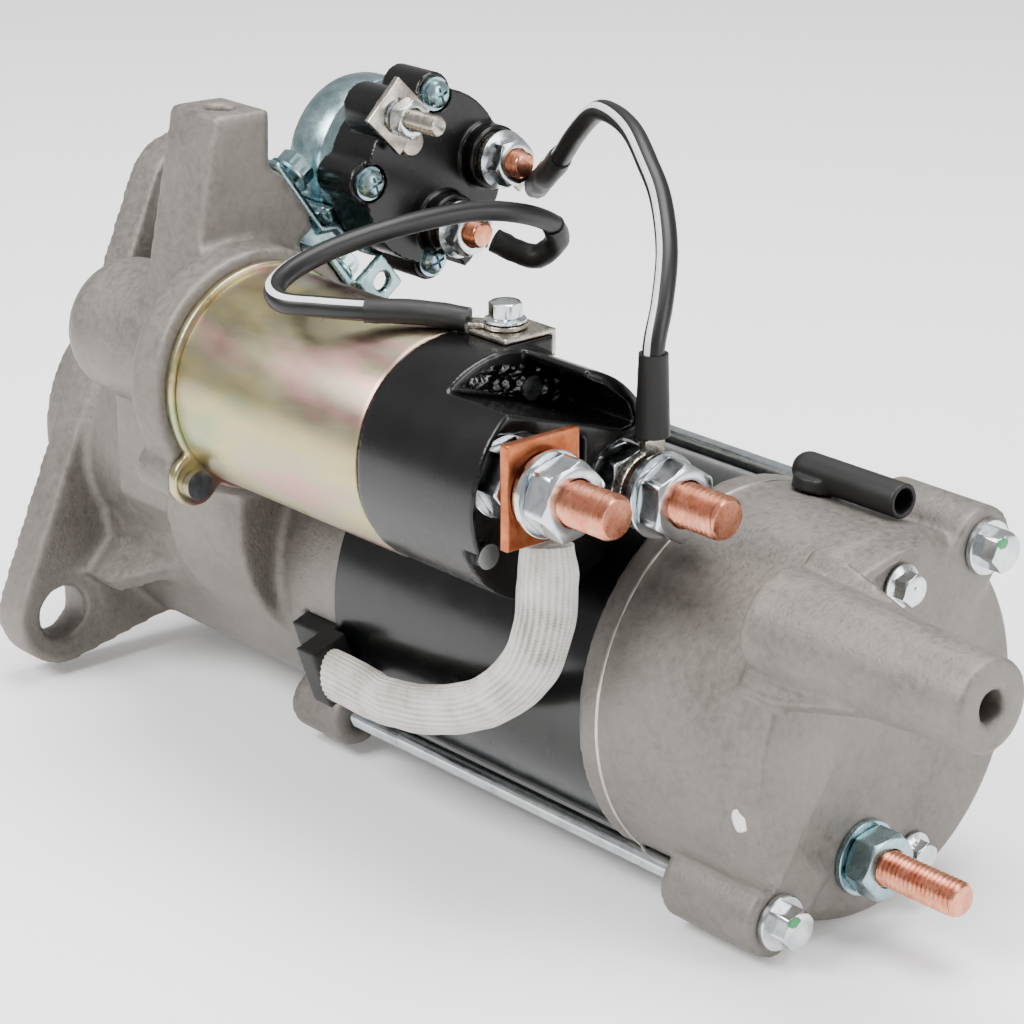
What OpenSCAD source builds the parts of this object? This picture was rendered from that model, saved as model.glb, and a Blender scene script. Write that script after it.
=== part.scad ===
// Offset-gear starter motor with a piggyback solenoid and a control relay.
// Origin: pinion axis at the front face of the flange. +X runs to the rear, +Z up.

/* [Machine] */
// Distance from the pinion axis to the armature axis
axis_offset = 25; // [22:0.5:28]
// Distance from the pinion axis to the solenoid axis
solenoid_offset = 60.7; // [58:0.1:64]
// Outer radius of the motor yoke
yoke_radius = 52; // [50:0.5:54]
// Outer radius of the rear cover skirt
cover_radius = 54.5; // [54:0.5:57]
// Outer radius of the solenoid case
solenoid_radius = 31.6; // [28:0.1:33]
// Outer radius of the relay can
relay_radius = 24.5; // [20:0.5:26]

/* [Mounting] */
// Radius of the circle the flange holes lie on
ear_circle = 73; // [70:0.5:78]
// Radius of the flange holes
ear_hole = 8.4; // [6:0.1:9]
// Radius of the locating spigot
spigot_radius = 41; // [38:0.5:41]
// Core radius of the two M10 tapped holes
tapped_radius = 4.25; // [4:0.05:4.5]

/* [Motion] */
// Angle the shift lever leans at rest
lever_lean = 12.69; // [10:0.01:14]

/* [Hidden] */
$fn = 48;
stack = 132;
motor_y = -axis_offset * cos(stack);
motor_z = -axis_offset * sin(stack);
coil_y = solenoid_offset * cos(stack);
coil_z = solenoid_offset * sin(stack);
relay_y = 22.4;
relay_z = 92.4;
bolt_reach = 56.1;
bolt_angles = [49.3, 229.3];
plate_angles = [5, 225];
ear_angles = [86.5, 226.5, 336.5];
lever_x = 56;
lever_arm = 38;
motor_stud = [-57.2, 51.4];
battery_stud = [-19.3, 42.2];
stud_spots = [motor_stud, battery_stud];
ground_stud_spot = [12.3, -53.2];
cover_screw_spots = [[22.4, 20.2], [31.4, -58.3]];
boss_spot = [-18.7, 19.8];
relay_stud_spots = [[41, 96], [25, 78]];
relay_screw_spots = [[23.2, 116.4], [-1.2, 94], [21.6, 67.4]];
relay_post_spot = [5.5, 113.5];
route_a = [[243, -17.5, 56], [243, -17.5, 68], [243, -17.5, 80], [240, -12, 90], [233, -4, 101],
  [222, 4, 111], [212, 8.5, 118], [200, 14, 123.5], [188, 18, 125.5], [177, 22, 123.5],
  [164, 27, 115], [151, 32.5, 104.5], [140, 37.5, 97], [130, 43.5, 92], [120.5, 50, 87.5]];
route_b = [[118.2, 36, 73], [121.5, 40.5, 70], [127, 45, 68.5], [133, 47, 74], [138, 41, 81],
  [140, 27, 87], [138, 10, 90], [136, -13, 89.5], [134, -33, 87], [135, -49, 84],
  [140, -60, 81.5], [150, -65, 80.5], [160, -60, 80.5], [170, -53, 80.5], [182, -43, 80.5],
  [192, -36, 79.5]];
route_lead = [[244, -54, 36], [244, -54, 25], [242, -53.5, 13], [236, -53, 0], [222, -51, -13],
  [205, -48, -23], [187, -46, -30], [170, -45, -34], [158, -43.5, -35.4], [139, -42, -36]];

// A round bar along X between two stations
module rod(x0, x1, r, y = 0, z = 0) {
  translate([x0, y, z]) rotate([0, 90, 0]) cylinder(h = x1 - x0, r = r);
}

// A six-sided bar along X with its width across flats
module hex(x0, x1, flats, y = 0, z = 0, turn = 0) {
  translate([x0, y, z]) rotate([turn, 0, 0]) rotate([0, 90, 0])
    cylinder(h = x1 - x0, r = flats / sqrt(3), $fn = 6);
}

// A flat outline drawn in Y and Z, thickened along X
module slab(x0, x1) {
  translate([x0, 0, 0]) rotate([90, 0, 90]) linear_extrude(x1 - x0) children();
}

// A ring or stepped drum turned about an axis along X; outline is [radius, x]
module turned(outline, y = 0, z = 0) {
  translate([0, y, z]) rotate([0, 90, 0]) rotate_extrude() polygon(outline);
}

// Children drawn with Y pointing from the pinion axis to the solenoid axis
module stacked() {
  rotate([stack, 0, 0]) children();
}

// Children drawn with Y pointing outward at an angle round the motor axis
module round_motor(angle) {
  translate([0, motor_y, motor_z]) rotate([angle, 0, 0]) children();
}

// Children drawn with Y pointing outward at an angle round the solenoid axis
module round_coil(angle) {
  translate([0, coil_y, coil_z]) rotate([angle, 0, 0]) children();
}

function inv(a) = tan(a) * 180 / PI - a;
function face_angle(r, base, half) = half + inv(20) - inv(acos(min(1, base / max(r, base))));
function gear_points(teeth, size, inner, outer, slack) =
  let (pitch = teeth * size / 2)
  let (base = pitch * cos(20))
  let (half = 90 / teeth - slack / 2 / pitch * 180 / PI)
  let (radii = [for (i = [0:4]) max(inner, base) + (outer - max(inner, base)) * i / 4])
  [for (t = [0:teeth - 1]) each concat(
    [inner * [cos(360 * t / teeth - face_angle(inner, base, half)),
      sin(360 * t / teeth - face_angle(inner, base, half))]],
    [for (r = radii) r * [cos(360 * t / teeth - face_angle(r, base, half)),
      sin(360 * t / teeth - face_angle(r, base, half))]],
    [for (i = [4:-1:0]) radii[i] * [cos(360 * t / teeth + face_angle(radii[i], base, half)),
      sin(360 * t / teeth + face_angle(radii[i], base, half))]],
    [inner * 0.999 * [cos(360 * t / teeth + face_angle(inner, base, half)),
      sin(360 * t / teeth + face_angle(inner, base, half))]])];

function unit(v) = v / norm(v);
function tangent(p, i) = unit(p[min(i + 1, len(p) - 1)] - p[max(i - 1, 0)]);
function ring_at(p, i, up, wide, thick, sides) =
  let (t = tangent(p, i))
  let (n = unit(up - (up * t) * t))
  let (b = cross(t, n))
  [for (k = [0:sides - 1]) p[i] + thick * cos(360 * k / sides) * n + wide * sin(360 * k / sides) * b];

// A lead swept along hand-picked points
module swept(p, up, wide, thick, sides = 10) {
  points = [for (i = [0:len(p) - 1]) each ring_at(p, i, up, wide, thick, sides)];
  walls = [for (i = [0:len(p) - 2]) for (k = [0:sides - 1])
    [i * sides + k, (i + 1) * sides + k, (i + 1) * sides + (k + 1) % sides, i * sides + (k + 1) % sides]];
  first = [[for (k = [0:sides - 1]) k]];
  last = [[for (k = [sides - 1:-1:0]) (len(p) - 1) * sides + k]];
  polyhedron(points = points, faces = concat(walls, first, last), convexity = 4);
}

// Rounded outline of the flange through its three ears, in short chords
flange_outline = concat(
  [for (s = [31.5:12.5:156.5]) ear_circle * [cos(86.5), sin(86.5)] + 16.5 * [cos(s), sin(s)]],
  [for (s = [156.5:12.5:281.5]) ear_circle * [cos(226.5), sin(226.5)] + 16.5 * [cos(s), sin(s)]],
  [for (s = [281.5:11:391.5]) ear_circle * [cos(336.5), sin(336.5)] + 16.5 * [cos(s), sin(s)]]);

// A web from a flange ear back to the body
module gusset(angle, reach, back) {
  rotate([angle, 0, 0]) translate([0, 0, -3.5]) linear_extrude(7)
    polygon([[8, 20], [8, reach], [18, reach], [back, 38], [back, 20]]);
}

module housing_solid() {
  slab(0, 14) polygon(flange_outline);
  rod(-8, 4, spigot_radius);
  rod(4, 75, 40.2);
  rod(66, 103.5, 48);
  rod(4, 130.5, 51, motor_y, motor_z);
  stacked() slab(36, 97) polygon([[0, -38], [24, -38], [46, -17.5], [62, -17.5], [62, 17.5], [46, 17.5], [24, 38], [0, 38]]);
  turned([[0, 33], [14, 33], [18.5, 36], [20.5, 41], [20.5, 76], [36, 94], [36, 106], [0, 106]], coil_y, coil_z);
  slab(69, 93) polygon([[-57, 52], [-43, 117], [-25, 116.5], [-25.6, 100.7], [-7.5, 76], [-9, 48]]);
  translate([71, -18.6, 91.4]) rotate([-53.9, 0, 0]) translate([0, -8, -4]) cube([21, 20, 5.5]);
  for (a = ear_angles) gusset(a, 64, 62);
  gusset(156.5, 40, 62);
  gusset(200, 40, 62);
  for (a = bolt_angles) round_motor(a) translate([100, 45, -8]) cube([22.5, 11, 16]);
  for (a = bolt_angles) round_motor(a) rod(100, 122.5, 9, bolt_reach, 0);
  round_coil(36.6) translate([92, 28, -9]) cube([13.6, 9, 18]);
  for (a = plate_angles) round_coil(a) rod(90, 105.8, 8, 35.5, 0);
}

module drive_housing() {
  color([0.60, 0.58, 0.54]) difference() {
    housing_solid();
    for (a = ear_angles) rotate([a, 0, 0]) rod(-1, 15, ear_hole, ear_circle, 0);
    for (a = ear_angles) rotate([a, 0, 0]) rod(13.2, 40, 14, ear_circle, 0);
    rod(-9, 3, 28);
    rod(2, 18, 31);
    rod(17.9, 75, 34);
    rod(71, 97.1, 43);
    rod(97, 123, 46, motor_y, motor_z);
    rod(121, 132, 47, motor_y, motor_z);
    stacked() slab(41, 76) polygon([[0, -33.5], [22, -33.5], [43, -12], [60, -12], [60, 12], [43, 12], [22, 33.5], [0, 33.5]]);
    rod(42, 107, 14, coil_y, coil_z);
    translate([81, -33.8, 92]) cylinder(h = 26, r = tapped_radius);
    for (a = bolt_angles) round_motor(a) rod(103, 123, 3.05, bolt_reach, 0);
    stacked() translate([lever_x, lever_arm, -22.3]) cylinder(h = 44.6, r = 4.05);
    round_coil(36.6) translate([85.6, 36.9, -9.4]) cube([9, 20, 18.8]);
    round_motor(199.4) translate([114.4, 34, -9.8]) cube([17, 30, 19.6]);
    round_coil(36.6) translate([99.5, 22, 0]) rotate([-90, 0, 0]) cylinder(h = 20, r = 3.05);
    for (a = plate_angles) round_coil(a) rod(92, 107, 2.55, 36.8, 0);
    translate([88.5, -16.5, 91.2]) rotate([-53.9, 0, 0]) translate([-4.5, 0, -14]) cylinder(h = 20, r = 3.05);
  }
}

module front_bearing() {
  color([0.62, 0.63, 0.65]) difference() {
    rod(2.2, 16, 30.95);
    rod(2, 17, 15.06);
    rod(2, 3.2, 27);
    rod(15, 17, 27);
  }
}

module front_seal() {
  color([0.06, 0.06, 0.06]) difference() {
    rod(-4, 2, 27.9);
    rod(-5, 3, 15.4);
    rod(-5, -1, 24.5);
  }
}

module centre_plate() {
  color([0.60, 0.58, 0.54]) difference() {
    union() {
      rod(97.3, 105, 45.8, motor_y, motor_z);
      rod(104, 118, 22, motor_y, motor_z);
    }
    rod(96, 104, 6.06);
    rod(96, 107, 9, motor_y, motor_z);
    rod(106.5, 119, 17.55, motor_y, motor_z);
  }
}

module centre_bearing() {
  color([0.62, 0.63, 0.65]) difference() {
    rod(106.8, 117.6, 17.5, motor_y, motor_z);
    rod(106, 118, 7.56, motor_y, motor_z);
    rod(106, 107.6, 14.5, motor_y, motor_z);
    rod(116.8, 118, 14.5, motor_y, motor_z);
  }
}

module yoke() {
  color([0.05, 0.05, 0.055]) difference() {
    rod(130.6, 243.8, yoke_radius, motor_y, motor_z);
    rod(130, 245, 47.5, motor_y, motor_z);
  }
}

module pole_shoes() {
  color([0.30, 0.30, 0.31]) for (a = [0:90:270]) round_motor(a) intersection() {
    difference() {
      rod(135, 211, 47.4);
      rod(134, 212, 36.6);
    }
    translate([134, 25, -19]) cube([78, 30, 38]);
  }
}

module field_coils() {
  color([0.58, 0.30, 0.14]) difference() {
    union() {
      rod(124, 134.5, 46.5, motor_y, motor_z);
      for (a = [45:90:315]) round_motor(a) translate([130, 39.5, -10]) cube([86, 6.4, 20]);
      rod(211.5, 220, 46.5, motor_y, motor_z);
    }
    rod(123, 221, 39.5, motor_y, motor_z);
  }
}

// One step of the raised part of the cover's end, shrunk towards its upper left
module plateau(x0, x1, size) {
  intersection() {
    rod(x0, x1, cover_radius - 1.2, motor_y, motor_z);
    slab(x0 - 1, x1 + 1) translate([-60, 60]) scale(size)
      polygon([[0, 0], [0, -130], [27, -130], [36, -113], [54, -86], [56, -72], [61, -50], [67, -33], [81, -29], [93, -26], [93, 0]]);
  }
}

module rear_cover() {
  color([0.60, 0.58, 0.54]) difference() {
    union() {
      rod(237, 244.5, cover_radius, motor_y, motor_z);
      turned([[0, 244.4], [cover_radius - 0.7, 244.4], [cover_radius - 0.7, 290.5],
        [cover_radius - 3.9, 293.7], [0, 293.7]], motor_y, motor_z);
      plateau(289, 297, 1);
      plateau(296, 300.6, 0.96);
      plateau(300, 304, 0.92);
      for (a = bolt_angles) round_motor(a) translate([261.5, 38, -9.8]) cube([33.5, 18, 19.6]);
      for (a = bolt_angles) round_motor(a) rod(261.5, 295, 10.5, bolt_reach, 0);
      turned([[0, 292], [15, 292], [14.6, 308], [12, 362], [0, 362]], boss_spot[0], boss_spot[1]);
      for (a = [51, 231]) translate([0, boss_spot[0], boss_spot[1]]) rotate([a, 0, 0]) translate([0, 0, -3])
        linear_extrude(6) polygon([[291, 0], [291, 20], [303.4, 20], [332, 12.6], [332, 0]]);
      rod(290, 294, 12, ground_stud_spot[0], ground_stud_spot[1]);
      rod(271.5, 288, 19, motor_y, motor_z);
    }
    rod(236, 244, yoke_radius + 0.06, motor_y, motor_z);
    rod(243.9, 271.4, 48.5, motor_y, motor_z);
    difference() {
      rod(271, 286.5, 48.5, motor_y, motor_z);
      rod(270, 287, 19, motor_y, motor_z);
    }
    rod(271, 286.1, 14.05, motor_y, motor_z);
    rod(271, 289, 9, motor_y, motor_z);
    for (a = bolt_angles) round_motor(a) rod(295, 305, 8.4, bolt_reach, 0);
    for (a = bolt_angles) round_motor(a) rod(230, 300, 3.6, bolt_reach, 0);
    rod(338, 363, tapped_radius, boss_spot[0], boss_spot[1]);
    rod(280, 310, 5.1, ground_stud_spot[0], ground_stud_spot[1]);
    for (p = cover_screw_spots) rod(280, 310, 2.55, p[0], p[1]);
    round_motor(75.5) translate([256, 40, 0]) rotate([-90, 0, 0]) cylinder(h = 20, r = 4.2);
  }
}

module through_bolts() {
  color([0.72, 0.74, 0.76]) for (a = bolt_angles) round_motor(a) translate([0, bolt_reach, 0]) {
    rod(104, 296, 3);
    rod(295.1, 297.2, 7.6);
    hex(297, 303, 10, turn = 12);
  }
}

module rear_bearing() {
  color([0.62, 0.63, 0.65]) difference() {
    rod(276, 286, 14, motor_y, motor_z);
    rod(275, 287, 7.56, motor_y, motor_z);
  }
}

module brush_holder() {
  color([0.66, 0.60, 0.42]) difference() {
    union() {
      rod(246, 248.5, 47.2, motor_y, motor_z);
      for (a = [45:90:315]) round_motor(a) translate([226.5, 25, -6.5]) cube([20, 19, 13]);
    }
    rod(225, 250, 23, motor_y, motor_z);
    for (a = [45:90:315]) round_motor(a) translate([229.7, 20, -4.1]) cube([12.6, 22, 8.2]);
  }
}

module brushes() {
  color([0.16, 0.14, 0.13]) for (a = [45:90:315]) round_motor(a) difference() {
    translate([230, 21, -4]) cube([12, 14.5, 8]);
    rod(220, 250, 22.35);
  }
}

module brush_springs() {
  color([0.72, 0.73, 0.75]) for (a = [45:90:315]) round_motor(a) translate([236, 35.8, 0])
    rotate([-90, 0, 0]) difference() {
      cylinder(h = 6, r = 3.6);
      translate([0, 0, -1]) cylinder(h = 8, r = 2.8);
      for (k = [0:2]) translate([0, 0, 1 + 2 * k]) rotate_extrude() translate([3.7, 0]) circle(r = 0.4);
    }
}

module cover_screws() {
  color([0.72, 0.74, 0.76]) for (p = cover_screw_spots) {
    rod(281, 295, 2.5, p[0], p[1]);
    rod(294.1, 295.6, 6, p[0], p[1]);
    hex(295.4, 299.5, 8, p[0], p[1], 20);
  }
}

module vent_elbow() {
  color([0.04, 0.04, 0.04]) difference() {
    union() {
      rod(252, 286, 4.8, 31.5, 38.7);
      translate([252, 31.5, 38.7]) sphere(r = 4.8);
      round_motor(75.5) translate([256, 51, 0]) rotate([-90, 0, 0]) cylinder(h = 6, r = 4.1);
      round_motor(75.5) translate([256, 54.2, 0]) rotate([-90, 0, 0]) cylinder(h = 3.4, r = 7);
    }
    rod(255, 287, 3.4, 31.5, 38.7);
    round_motor(75.5) translate([256, 50, 0]) rotate([-90, 0, 0]) cylinder(h = 9, r = 2.6);
  }
}

module ground_stud() {
  color([0.75, 0.42, 0.28]) {
    rod(282, 304.1, 5, ground_stud_spot[0], ground_stud_spot[1]);
    rod(304, 304.8, 4.5, ground_stud_spot[0], ground_stud_spot[1]);
    rod(304.7, 329, 5, ground_stud_spot[0], ground_stud_spot[1]);
  }
}

module ground_nut() {
  color([0.62, 0.70, 0.74]) difference() {
    union() {
      rod(294.1, 296, 10.5, ground_stud_spot[0], ground_stud_spot[1]);
      hex(295.9, 304, 17, ground_stud_spot[0], ground_stud_spot[1], 8);
    }
    rod(293, 305, 5.05, ground_stud_spot[0], ground_stud_spot[1]);
  }
}

module solenoid_plate() {
  color([0.68, 0.68, 0.60]) difference() {
    union() {
      rod(106.1, 109, 33, coil_y, coil_z);
      for (a = plate_angles) round_coil(a) rod(106.1, 109, 8, 35.5, 0);
    }
    rod(105, 110, 13.1, coil_y, coil_z);
    for (a = plate_angles) round_coil(a) rod(105, 110, 2.7, 36.8, 0);
  }
}

module solenoid_screws() {
  color([0.72, 0.74, 0.76]) for (a = plate_angles) round_coil(a) {
    rod(94, 110, 2.5, 36.8, 0);
    rod(109.1, 111.6, 4.2, 36.8, 0);
  }
}

module solenoid_case() {
  color([0.66, 0.63, 0.50]) difference() {
    rod(109.1, 189, solenoid_radius, coil_y, coil_z);
    rod(109, 190, solenoid_radius - 3, coil_y, coil_z);
  }
}

module solenoid_coil() {
  color([0.55, 0.27, 0.12]) turned([[13.1, 110], [28.3, 110], [28.3, 112], [27.5, 112], [27.5, 169],
    [28.3, 169], [28.3, 171.6], [13.1, 171.6]], coil_y, coil_z);
}

module solenoid_core() {
  color([0.55, 0.56, 0.58]) turned([[3.3, 161.5], [7.6, 161.5], [7.6, 150], [12.8, 150], [12.8, 171.8],
    [28.3, 171.8], [28.3, 177], [3.3, 177]], coil_y, coil_z);
}

module solenoid_cap() {
  color([0.04, 0.04, 0.045]) difference() {
    union() {
      rod(189.1, 236, 31.3, coil_y, coil_z);
      translate([193, -39, 62]) cube([17, 16.8, 14.5]);
    }
    rod(189, 207, 28.4, coil_y, coil_z);
    slab(212, 240) polygon([[-75, 90], [-75, 75], [-62, 70], [-42, 64], [-29, 60], [-21.5, 57.5],
      [-17, 58], [-19.5, 64], [-27, 70], [-34, 73.5], [-34, 90]]);
    slab(229.5, 240) polygon([[-90, 10], [-90, 36], [0, 28], [0, 10]]);
    intersection() {
      rod(229.5, 241, 30.1, coil_y, coil_z);
      slab(229, 242) {
        polygon([[-90, 10], [-90, 64.6], [-63, 64.6], [-42, 60.2], [-34.5, 58.2], [-34.5, 10]]);
        polygon([[-31.2, 10], [-31.2, 50], [-26, 53.4], [-19.3, 54.6], [0, 54.6], [0, 10]]);
      }
    }
    for (p = stud_spots) rod(206, 230, 6.05, p[0], p[1]);
    for (p = stud_spots) rod(229.5, 241, 12.3, p[0], p[1]);
    translate([200, -30.2, 70]) cylinder(h = 9, r = 2.6);
    rod(205, 213, 1.8, -32.6, 65.4);
    rod(222, 232, 1.8, -62.5, 31);
  }
}

module power_studs() {
  color([0.75, 0.42, 0.28]) for (p = stud_spots) {
    rod(190, 258.1, 6, p[0], p[1]);
    rod(258, 258.7, 5.6, p[0], p[1]);
    rod(258.6, 273, 6, p[0], p[1]);
    rod(190, 194, 6.8, p[0], p[1]);
  }
}

module power_nuts() {
  color([0.70, 0.73, 0.76]) for (p = stud_spots) difference() {
    union() {
      rod(229.7, 231.4, 11, p[0], p[1]);
      hex(231.2, 239.8, 18, p[0], p[1], 5);
      rod(245.8, 247.8, 10.2, p[0], p[1]);
      rod(248, 249.6, 11.5, p[0], p[1]);
      hex(249.4, 258, 19, p[0], p[1], 14);
    }
    rod(229, 259, 6.05, p[0], p[1]);
  }
}

module motor_terminal() {
  color([0.66, 0.32, 0.14]) difference() {
    translate([242.4, motor_stud[0] - 11.5, motor_stud[1] - 14]) cube([3, 24, 28]);
    rod(242, 246, 6.1, motor_stud[0], motor_stud[1]);
  }
}

module motor_lead() {
  color([0.72, 0.70, 0.66]) swept(route_lead, [0.76, -0.65, 0], 8, 4.8, 12);
}

module lead_grommet() {
  color([0.05, 0.05, 0.05]) round_motor(199.4) {
    translate([114.7, 47.8, -9.5]) cube([15.6, 7.7, 19]);
    translate([130.2, 53, -12.2]) cube([8.4, 12.4, 19]);
    translate([126, 53, -9.5]) cube([5, 2.5, 15]);
  }
}

module switch_terminal() {
  color([0.72, 0.71, 0.68]) difference() {
    union() {
      translate([194, -38, 76.6]) cube([15, 16, 1.6]);
      translate([194, -22, 70.6]) cube([15, 1.6, 7.6]);
    }
    translate([200, -30.2, 76]) cylinder(h = 4, r = 2.6);
  }
}

module switch_screw() {
  color([0.72, 0.74, 0.76]) translate([200, -30.2, 0]) {
    translate([0, 0, 71]) cylinder(h = 12, r = 2.5);
    translate([0, 0, 79.8]) cylinder(h = 1.2, r = 5.6);
    translate([0, 0, 80.9]) cylinder(h = 4.4, r = 8 / sqrt(3), $fn = 6);
  }
}

module cap_screws() {
  color([0.55, 0.57, 0.58]) {
    rod(206, 212.2, 1.75, -32.6, 65.4);
    rod(212.1, 213.7, 3.4, -32.6, 65.4);
    rod(223, 229.7, 1.75, -62.5, 31);
    rod(229.6, 231.2, 3.4, -62.5, 31);
  }
}

module relay_case() {
  color([0.52, 0.66, 0.68]) difference() {
    turned([[0, 65], [20, 65], [23.2, 66.3], [relay_radius, 69.5], [relay_radius, 89.9], [0, 89.9]], relay_y, relay_z);
    rod(67, 90, relay_radius - 2, relay_y, relay_z);
  }
}

module relay_cap() {
  color([0.04, 0.04, 0.045]) difference() {
    union() {
      rod(90, 108, 25.5, relay_y, relay_z);
      for (p = relay_screw_spots) rod(90, 106, 6.2, p[0], p[1]);
      for (p = relay_stud_spots) rod(90, 113.2, 9.5, p[0], p[1]);
      rod(96, 110.5, 7.5, relay_post_spot[0], relay_post_spot[1]);
      translate([97.5, 34, 71]) rotate([40, 0, 0]) cube([15, 8, 16], center = true);
    }
    rod(89, 104, 19, relay_y, relay_z);
    for (p = relay_stud_spots) rod(102, 114, 4.05, p[0], p[1]);
    for (p = relay_screw_spots) rod(106, 114, 5.3, p[0], p[1]);
    for (p = relay_screw_spots) rod(89, 107, 2.05, p[0], p[1]);
    rod(99, 111, 3.05, relay_post_spot[0], relay_post_spot[1]);
  }
}

module relay_screws() {
  color([0.72, 0.74, 0.76]) for (p = relay_screw_spots) {
    rod(90.5, 108, 2, p[0], p[1]);
    rod(106.1, 107.3, 4.9, p[0], p[1]);
    turned([[0, 107.2], [4, 107.2], [4, 108.8], [3.2, 109.8], [0, 110]], p[0], p[1]);
  }
}

module relay_studs() {
  color([0.75, 0.42, 0.28]) for (p = relay_stud_spots) {
    rod(102.6, 126, 4, p[0], p[1]);
  }
}

module relay_nuts() {
  color([0.70, 0.73, 0.76]) {
    for (p = relay_stud_spots) difference() {
      union() {
        rod(115.6, 117.2, 8.6, p[0], p[1]);
        hex(117.1, 122.2, 13, p[0], p[1], 10);
      }
      rod(115, 124, 4.05, p[0], p[1]);
    }
    difference() {
      union() {
        rod(112.8, 114.2, 6.6, relay_post_spot[0], relay_post_spot[1]);
        hex(114.1, 119, 10, relay_post_spot[0], relay_post_spot[1], 25);
      }
      rod(112, 120, 3.05, relay_post_spot[0], relay_post_spot[1]);
    }
  }
}

module relay_post() {
  color([0.62, 0.60, 0.56]) {
    rod(99.5, 119.1, 3, relay_post_spot[0], relay_post_spot[1]);
    rod(119, 120.1, 2.5, relay_post_spot[0], relay_post_spot[1]);
    rod(120, 130, 3, relay_post_spot[0], relay_post_spot[1]);
    difference() {
      translate([110.6, relay_post_spot[0], relay_post_spot[1]]) rotate([45, 0, 0])
        translate([0, -8, -8]) cube([2, 16, 16]);
      rod(110, 113, 2.9, relay_post_spot[0], relay_post_spot[1]);
    }
    rod(108.1, 111, 3.1, 11.7, 104.6);
  }
}

module relay_coil() {
  color([0.55, 0.27, 0.12]) turned([[6.4, 67.5], [22, 67.5], [22, 69.5], [21, 69.5], [21, 85],
    [22, 85], [22, 88], [6.4, 88]], relay_y, relay_z);
}

module relay_spring() {
  color([0.72, 0.73, 0.75]) translate([0, relay_y, relay_z]) rotate([0, 90, 0]) for (k = [0:4])
    translate([0, 0, 89.3 + 1.5 * k]) rotate_extrude() translate([8.3, 0]) circle(r = 0.6, $fn = 16);
}

module relay_plunger() {
  color([0.66, 0.50, 0.34]) {
    rod(69, 99, 6, relay_y, relay_z);
    rod(97, 99.5, 9.6, relay_y, relay_z);
    slab(98, 100.3) polygon([[20, 79], [29, 76], [40.3, 92], [36, 99]]);
  }
}

module relay_bracket() {
  color([0.52, 0.66, 0.68]) difference() {
    union() {
      translate([71, -18.6, 91.4]) rotate([-53.9, 0, 0]) translate([0, -8, 1.6]) cube([19, 26.5, 2.5]);
      translate([0, relay_y, relay_z]) intersection() {
        difference() {
          rod(70, 89.8, relay_radius + 3);
          rod(69, 90, relay_radius + 0.3);
        }
        slab(69, 90) polygon([[0, 0], [-35, -13], [-35, -40], [8, -40]]);
      }
      round_coil(36.6) translate([86, 37.2, -9]) cube([19.8, 2.5, 18]);
      round_coil(36.6) translate([86, 37.2, -9]) cube([2.5, 16, 18]);
      translate([71, -6, 76.8]) cube([18.8, 10, 2.5]);
      round_coil(36.6) translate([105.5, 39.2, -15.5]) cube([2.5, 12, 12]);
    }
    translate([88.5, -16.5, 91.2]) rotate([-53.9, 0, 0]) translate([-4.5, 0, -4]) cylinder(h = 12, r = 3.3);
    round_coil(36.6) translate([99.5, 36, 0]) rotate([-90, 0, 0]) cylinder(h = 5, r = 3.3);
    round_coil(36.6) rod(104, 109, 2.8, 46, -9.8);
    rod(64, 91, relay_radius + 0.3, relay_y, relay_z);
  }
}

module bracket_screws() {
  color([0.72, 0.76, 0.80]) {
    translate([84, -16.5, 91.2]) rotate([-53.9, 0, 0]) {
      translate([0, 0, -12]) cylinder(h = 20, r = 3);
      translate([0, 0, 4.3]) cylinder(h = 1.4, r = 6.6);
      translate([0, 0, 5.6]) cylinder(h = 4.6, r = 10 / sqrt(3), $fn = 6);
    }
    round_coil(36.6) translate([99.5, 0, 0]) rotate([-90, 0, 0]) {
      translate([0, 0, 24]) cylinder(h = 18, r = 3);
      translate([0, 0, 39.8]) cylinder(h = 1.4, r = 6.2);
      translate([0, 0, 41.1]) cylinder(h = 4, r = 10 / sqrt(3), $fn = 6);
    }
  }
}

module battery_wire() {
  color([0.05, 0.05, 0.05]) swept(route_a, [0.42, 0.9, 0], 3, 3);
}

module switch_wire() {
  color([0.05, 0.05, 0.05]) swept(route_b, [0, 0, 1], 3, 3);
}

module wire_lugs() {
  color([0.72, 0.71, 0.68]) {
    difference() {
      union() {
        rod(241.8, 244.2, 10.5, battery_stud[0], battery_stud[1]);
        translate([241.8, -21, 50]) cube([2.4, 7, 5.8]);
      }
      rod(241, 245, 6.1, battery_stud[0], battery_stud[1]);
    }
    for (k = [0, 1]) translate([0, relay_stud_spots[k][0], relay_stud_spots[k][1]])
      rotate([-44 + 20 * k, 0, 0]) difference() {
        union() {
          rod(113.4, 115.4, 7.6);
          translate([113.4, 5, -3]) cube([2, 8, 6]);
        }
        rod(113, 116, 4.1);
      }
    difference() {
      union() {
        translate([200, -30.2, 78.4]) cylinder(h = 1.2, r = 6);
        translate([192.4, -36, 78.4]) rotate([0, 0, 37]) translate([0, -3, 0]) cube([6, 6, 1.2]);
      }
      translate([200, -30.2, 78]) cylinder(h = 3, r = 2.6);
    }
  }
}

module wire_sleeves() {
  color([0.035, 0.035, 0.035]) {
    difference() {
      translate([243, -17.5, 57]) cylinder(h = 21.5, r1 = 4.5, r2 = 3.9);
      translate([243, -17.5, 56]) cylinder(h = 26, r = 3.2);
    }
  }
}

module lever_pin() {
  color([0.62, 0.63, 0.65]) stacked() translate([lever_x, lever_arm, -22]) cylinder(h = 44, r = 4);
}

module armature_shaft() {
  color([0.62, 0.63, 0.65]) translate([0, motor_y, motor_z]) {
    rotate([stack - 180, 0, 0]) slab(78, 94.5) polygon(gear_points(10, 2, 7.6, 11.6, 0.25));
    rod(94, 106.6, 7.2);
    rod(106.5, 118, 7.5);
    rod(118, 274, 8.4);
    rod(274, 287.5, 7.5);
  }
}

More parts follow.
